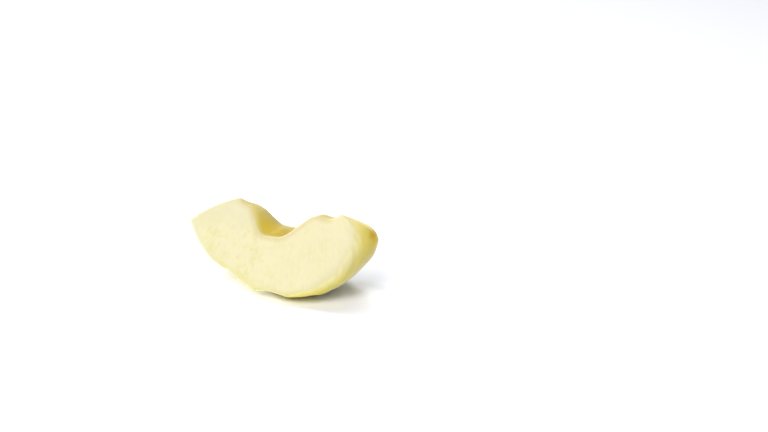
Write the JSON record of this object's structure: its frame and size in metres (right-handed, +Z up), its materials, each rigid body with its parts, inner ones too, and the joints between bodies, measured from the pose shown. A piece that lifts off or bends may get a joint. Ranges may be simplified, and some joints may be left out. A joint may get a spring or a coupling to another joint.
{
  "type": "apple slice",
  "caption": "Peeled and cored wedge of an apple with pale flesh, a scooped core notch on top and a peeled back that it lies on.",
  "frame": {"origin": "middle of the bounding box, on the surface that the slice rests on", "axes": "+X along the apple's core line from the stem end to the blossom end, +Y away from the nearer cut face, +Z up, out of the core notch"},
  "size_m": [0.0752, 0.0326, 0.0332],
  "materials": {
    "apple_flesh": "moist, pale cream-yellow fruit flesh with a soft sheen, golden in the core notch"
  },
  "bodies": {
    "root": {"apple_slice": "apple_flesh"}
  },
  "joints": []
}
